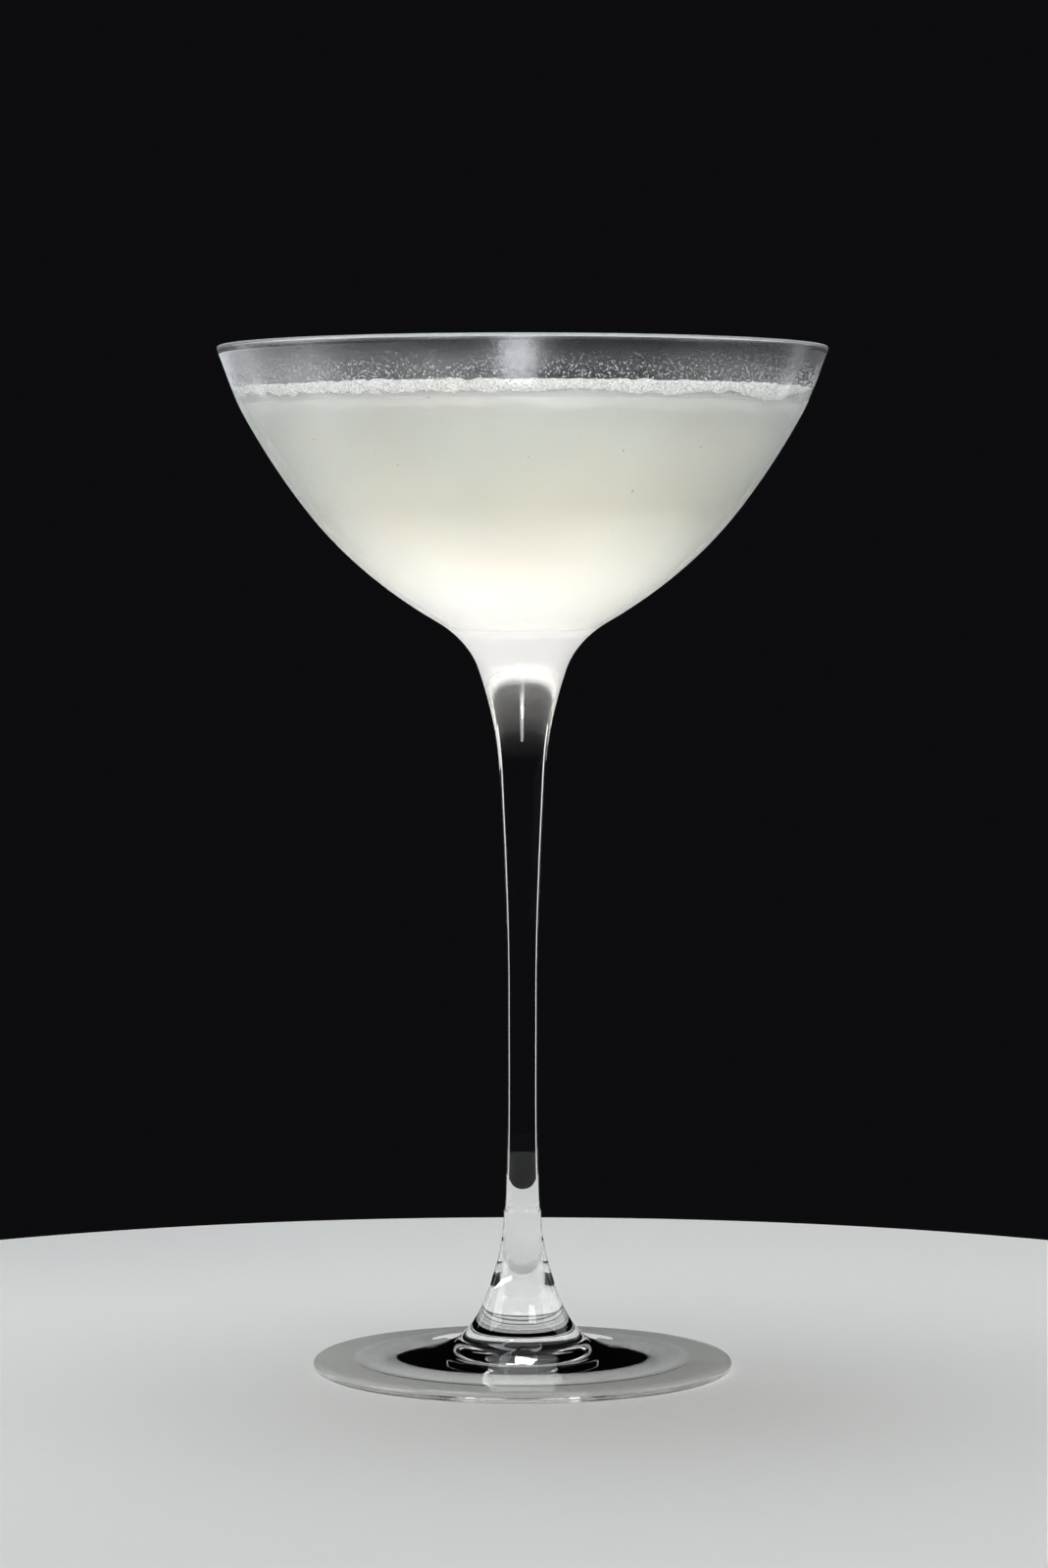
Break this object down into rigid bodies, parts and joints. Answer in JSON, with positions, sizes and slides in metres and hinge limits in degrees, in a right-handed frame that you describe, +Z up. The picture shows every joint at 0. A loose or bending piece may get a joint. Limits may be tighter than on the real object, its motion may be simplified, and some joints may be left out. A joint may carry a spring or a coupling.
{
  "type": "martini cocktail",
  "caption": "Shaken cocktail served up: a wide stemmed glass filled near its rim with a pale cloudy drink under a thin layer of froth.",
  "frame": {"origin": "centre of the foot's underside, on the surface that the glass stands on", "axes": "+Z up along the stem; the glass is round about it, so X and Y are any two level directions"},
  "size_m": [0.1098, 0.1098, 0.185],
  "materials": {
    "glass": "clear blown glass, polished, with fine condensation on the chilled bowl",
    "drink": "cloudy pale drink that lets light glow through, whiter where the bowl narrows",
    "foam": "dense white froth of very small bubbles"
  },
  "bodies": {
    "root": {"glass": "glass", "drink": "drink", "foam": "foam"}
  },
  "joints": []
}
